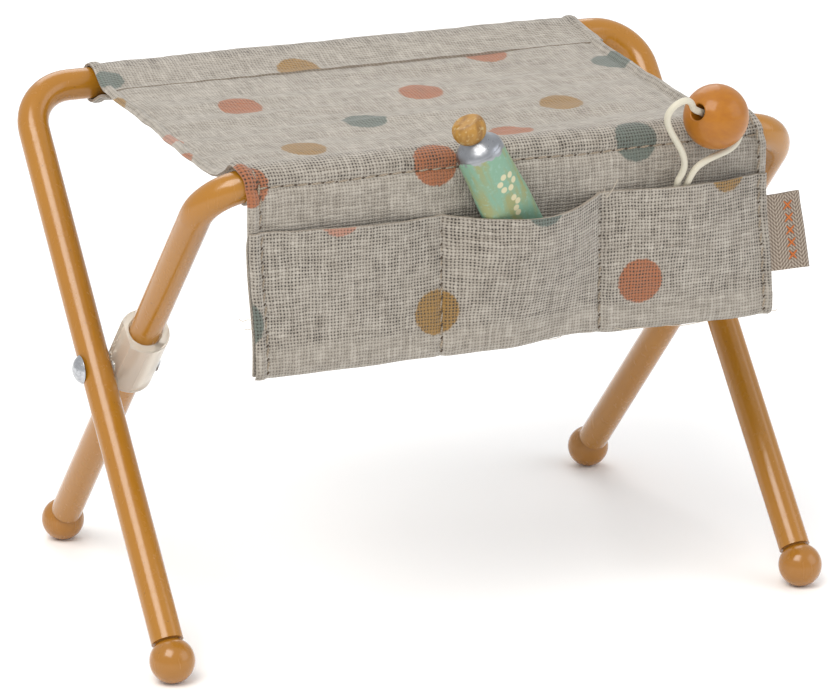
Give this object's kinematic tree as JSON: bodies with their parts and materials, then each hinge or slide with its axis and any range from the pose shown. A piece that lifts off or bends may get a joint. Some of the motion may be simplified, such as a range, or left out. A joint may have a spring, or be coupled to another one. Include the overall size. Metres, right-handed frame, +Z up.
{
  "type": "doll's changing table",
  "caption": "Small folding table for a doll: two crossed bent-tube frames on ball feet, a linen sling with a front pocket flap, a little tube of cream and a wooden bead on a cord.",
  "frame": {"origin": "on the standing surface, under the centre of the table's outline", "axes": "+X to the table's right as seen from the pocket side, -Y towards the pocket side, +Z up"},
  "size_m": [0.1378, 0.1024, 0.1044],
  "materials": {
    "frame_enamel": "gloss ochre enamel",
    "foot_enamel": "gloss ochre enamel on turned balls",
    "clear_vinyl": "clear soft vinyl",
    "rivet_chrome": "polished",
    "linen": "natural linen, printed with dots",
    "tag_tape": "woven herringbone tape",
    "cream_tube_paint": "hand-painted matt green",
    "cream_tube_metal": "bare foil",
    "cap_paint": "gold paint, rough",
    "bead_lacquer": "gloss lacquered wood",
    "cord_yarn": "waxed off-white cord"
  },
  "bodies": {
    "front_frame": {"front_frame_tube": "frame_enamel", "rear_foot_left": "foot_enamel", "rear_foot_right": "foot_enamel", "spacer_sleeve_left": "clear_vinyl", "spacer_sleeve_right": "clear_vinyl", "pivot_rivet_left": "rivet_chrome", "pivot_rivet_right": "rivet_chrome", "front_casing": "linen", "flap_panel": "linen", "pocket_left": "linen", "pocket_middle": "linen", "pocket_right": "linen", "seam_tag": "tag_tape"},
    "rear_frame": {"rear_frame_tube": "frame_enamel", "front_foot_left": "foot_enamel", "front_foot_right": "foot_enamel", "rear_casing": "linen"},
    "sling_front": {"sling_front_half": "linen"},
    "sling_rear": {"sling_rear_half": "linen"},
    "cream_tube": {"cream_tube_body": "cream_tube_paint", "cream_tube_shoulder": "cream_tube_metal", "cream_tube_cap": "cap_paint"},
    "bead_cord": {"toy_cord": "cord_yarn", "toy_knot": "cord_yarn"},
    "bead": {"bead": "bead_lacquer"}
  },
  "joints": [
    {"name": "fold", "type": "hinge", "parent": "front_frame", "child": "rear_frame", "pos_m": [0, 0.0053, 0.0484], "axis": [1, 0, 0], "range_deg": [0, 72], "deforming": ["sling_front_half", "sling_rear_half"]},
    {"name": "sling_front_swing", "type": "hinge", "parent": "front_frame", "child": "sling_front", "pos_m": [0, -0.03151, 0.096], "axis": [1, 0, 0], "range_deg": [-81, 0]},
    {"name": "sling_rear_swing", "type": "hinge", "parent": "sling_front", "child": "sling_rear", "pos_m": [0, 0.00429, 0.0905], "axis": [1, 0, 0], "range_deg": [0, 161]},
    {"name": "cream_tube_lift", "type": "slide", "parent": "front_frame", "child": "cream_tube", "axis": [-0.4645, -0.0889, 0.8811], "range_m": [0, 0.024]},
    {"name": "bead_cord_lift", "type": "slide", "parent": "front_frame", "child": "bead_cord", "axis": [0, 0, 1], "range_m": [0, 0.012]},
    {"name": "bead_spin", "type": "hinge", "parent": "bead_cord", "child": "bead", "pos_m": [0.038, -0.04468, 0.09839], "axis": [-0.8618, -0.3891, 0.3256], "continuous": true}
  ],
  "couplings": [
    {"joint": "sling_front_swing", "follows": "fold", "ratio": -1.1236},
    {"joint": "sling_rear_swing", "follows": "fold", "ratio": 2.2257}
  ]
}
